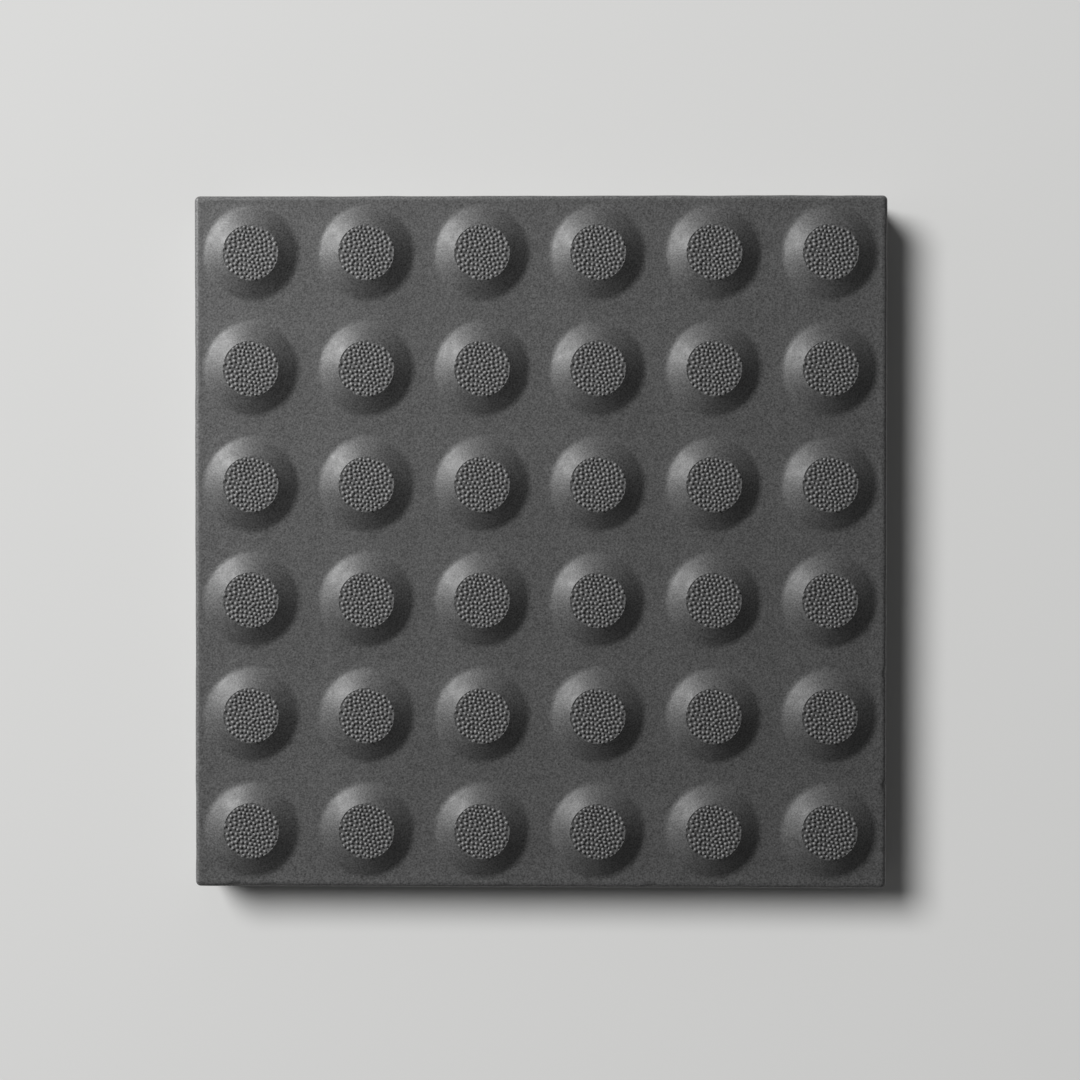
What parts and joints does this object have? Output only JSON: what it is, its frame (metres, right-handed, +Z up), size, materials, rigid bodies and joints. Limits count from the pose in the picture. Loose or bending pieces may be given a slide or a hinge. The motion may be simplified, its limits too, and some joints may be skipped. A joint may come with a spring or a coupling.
{
  "type": "tactile paving slab",
  "caption": "Square charcoal concrete paving slab with a grid of truncated domes with pebbled tops, laid underfoot as a tactile warning surface.",
  "frame": {"origin": "middle of the underside, on the surface that the slab lies on", "axes": "+Z up through the thickness to the domed face, +X and +Y along the sides"},
  "size_m": [0.3, 0.3, 0.045],
  "materials": {
    "concrete": "matte"
  },
  "bodies": {
    "root": {"slab": "concrete"}
  },
  "joints": []
}
